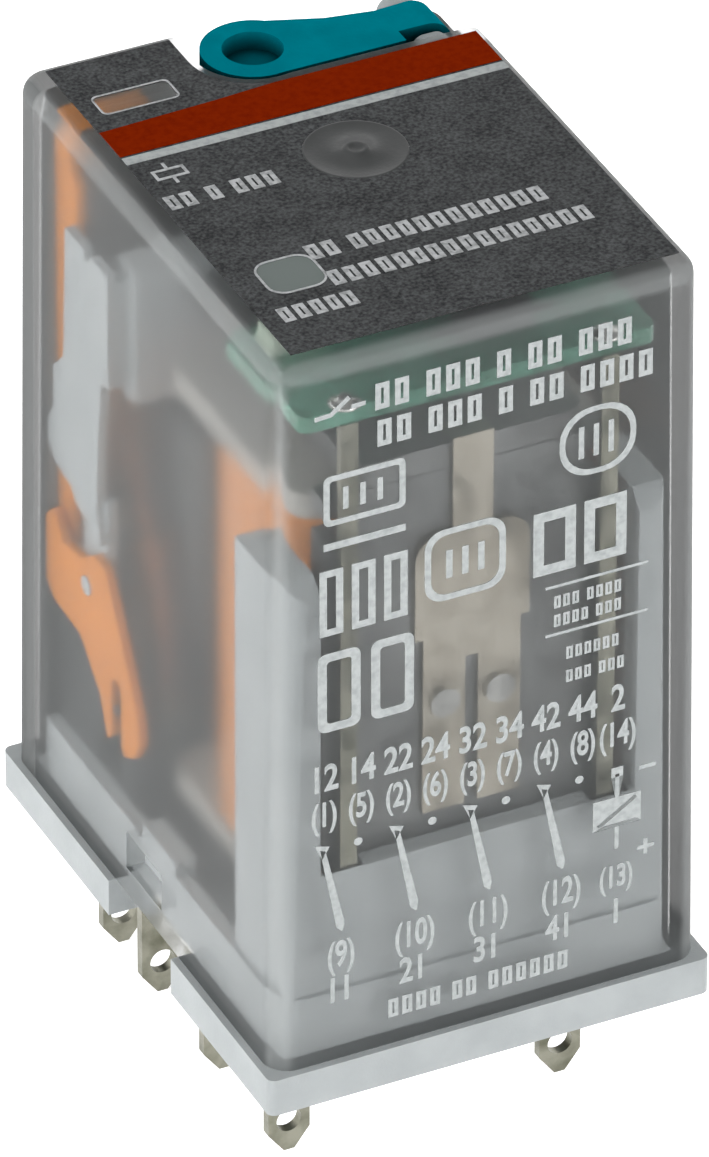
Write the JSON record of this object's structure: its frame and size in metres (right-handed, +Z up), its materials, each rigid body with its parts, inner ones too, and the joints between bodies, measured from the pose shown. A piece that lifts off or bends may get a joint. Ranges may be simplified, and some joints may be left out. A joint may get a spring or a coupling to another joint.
{
  "type": "plug-in relay",
  "caption": "Miniature plug-in changeover relay with a clear cover, test lever, position indicator and flat plug blades.",
  "frame": {"origin": "centre of the footprint on the bottom rim of the base", "axes": "+X to the right along the printed front, +Y from the front to the back, +Z up, away from the blades"},
  "size_m": [0.0212, 0.0276, 0.045],
  "materials": {
    "clear_cover": "polished",
    "grey_plastic": "matte",
    "dark_plastic": "matte",
    "teal_plastic": "satin",
    "orange_plastic": "satin",
    "magnet_steel": "brushed",
    "bobbin_plastic": "matte",
    "enamelled_copper": "gloss",
    "orange_tape": "satin",
    "spring_metal": "satin",
    "rivet_steel": "satin",
    "contact_silver": "polished",
    "copper_braid": "woven",
    "green_board": "satin",
    "lamp_resin": "polished",
    "diode_black": "gloss",
    "resistor_black": "matte",
    "tinned_brass": "satin"
  },
  "bodies": {
    "root": {"base": "grey_plastic", "coil_bobbin": "bobbin_plastic", "coil_tape": "orange_tape", "coil_terminal_1": "tinned_brass", "coil_terminal_2": "tinned_brass", "coil_winding": "enamelled_copper", "com_terminal_1": "tinned_brass", "com_terminal_2": "tinned_brass", "com_terminal_3": "tinned_brass", "com_terminal_4": "tinned_brass", "contact_block": "dark_plastic", "core": "magnet_steel", "cover": "clear_cover", "diode": "diode_black", "flexible_leads": "copper_braid", "led": "lamp_resin", "lever_bracket": "grey_plastic", "nc_contacts": "contact_silver", "nc_terminal_1": "tinned_brass", "nc_terminal_2": "tinned_brass", "nc_terminal_3": "tinned_brass", "nc_terminal_4": "tinned_brass", "no_contacts": "contact_silver", "no_terminal_1": "tinned_brass", "no_terminal_2": "tinned_brass", "no_terminal_3": "tinned_brass", "no_terminal_4": "tinned_brass", "pcb": "green_board", "resistor": "resistor_black", "return_spring": "spring_metal", "spring_rivets": "rivet_steel", "winding_leads": "enamelled_copper", "yoke": "magnet_steel"},
    "armature": {"armature": "magnet_steel", "armature_rivets": "rivet_steel", "contact_carrier": "grey_plastic", "moving_contacts": "contact_silver", "moving_spring_1": "spring_metal", "moving_spring_2": "spring_metal", "moving_spring_3": "spring_metal", "moving_spring_4": "spring_metal"},
    "indicator": {"indicator_arm": "orange_plastic"},
    "lever": {"test_lever": "teal_plastic"}
  },
  "joints": [
    {"name": "armature_rock", "type": "hinge", "parent": "root", "child": "armature", "pos_m": [0, -0.0102, 0.0293], "axis": [1, 0, 0], "range_deg": [-2.6, 0]},
    {"name": "indicator_turn", "type": "hinge", "parent": "armature", "child": "indicator", "pos_m": [-0.0088, 0.0075, 0.0141], "axis": [1, 0, 0], "range_deg": [0, 10.4]},
    {"name": "test_lever_flip", "type": "hinge", "parent": "root", "child": "lever", "pos_m": [0.00775, 0.0102, 0.0362], "axis": [0, 1, 0], "range_deg": [-6, 90]}
  ],
  "couplings": [
    {"joint": "indicator_turn", "follows": "armature_rock", "ratio": -4}
  ]
}
